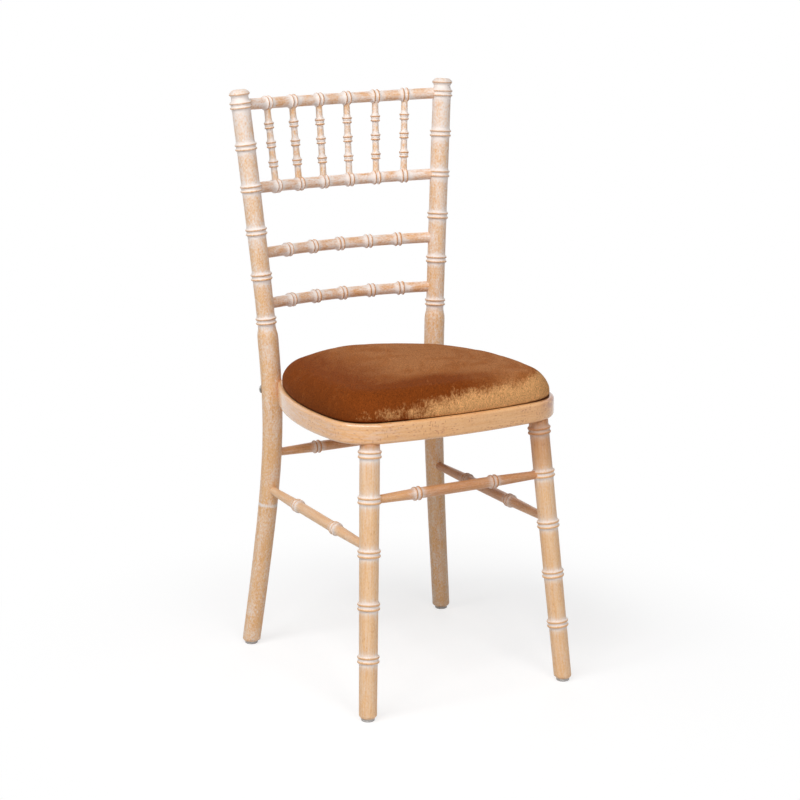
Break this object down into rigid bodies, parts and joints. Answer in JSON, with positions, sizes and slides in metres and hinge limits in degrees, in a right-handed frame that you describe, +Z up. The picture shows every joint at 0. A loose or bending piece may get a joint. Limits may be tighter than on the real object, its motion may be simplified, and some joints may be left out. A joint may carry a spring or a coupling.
{
  "type": "dining chair with seat pad",
  "caption": "Slim wooden side chair with bamboo-style turned rings, bowed rails with spindles, a bentwood seat and a crowned lift-off velvet pad.",
  "frame": {"origin": "on the floor under the middle of the chair's outline", "axes": "+Z up, the front of the seat faces -Y, +X to the right of someone looking at the front"},
  "size_m": [0.4032, 0.462, 0.9242],
  "materials": {
    "limewashed_beech": "limewashed, matt, rubbed back to tan on the ridges",
    "beech": "light limewash over steamed beech, satin",
    "plywood": "unfinished",
    "velvet": "bronze velvet with a short crushed nap",
    "steel": "zinc plated",
    "glide_plastic": "moulded, matt",
    "hook_and_loop": "woven tape"
  },
  "bodies": {
    "chair_frame": {"seat_hoop": "beech", "seat_panel": "plywood", "back_post_left": "limewashed_beech", "back_post_right": "limewashed_beech", "crest_rail": "limewashed_beech", "spindle_rail": "limewashed_beech", "lumbar_rail_upper": "limewashed_beech", "lumbar_rail_lower": "limewashed_beech", "spindle_1": "limewashed_beech", "spindle_2": "limewashed_beech", "spindle_3": "limewashed_beech", "spindle_4": "limewashed_beech", "spindle_5": "limewashed_beech", "spindle_6": "limewashed_beech", "front_leg_left": "limewashed_beech", "front_leg_right": "limewashed_beech", "stretcher_front": "limewashed_beech", "stretcher_rear": "limewashed_beech", "stretcher_left": "limewashed_beech", "stretcher_right": "limewashed_beech", "glide_front_left": "glide_plastic", "glide_front_right": "glide_plastic", "glide_rear_left": "glide_plastic", "glide_rear_right": "glide_plastic", "post_bolt_left": "steel", "post_bolt_right": "steel", "washer_left": "steel", "washer_right": "steel", "nut_left": "steel", "nut_right": "steel", "hook_strip_left": "hook_and_loop", "hook_strip_right": "hook_and_loop"},
    "seat_pad": {"pad_cushion": "velvet", "pad_board": "plywood", "loop_strip_left": "hook_and_loop", "loop_strip_right": "hook_and_loop"}
  },
  "joints": [
    {"name": "pad_lift", "type": "slide", "parent": "chair_frame", "child": "seat_pad", "axis": [0, 0, 1], "range_m": [0, 0.06]}
  ]
}
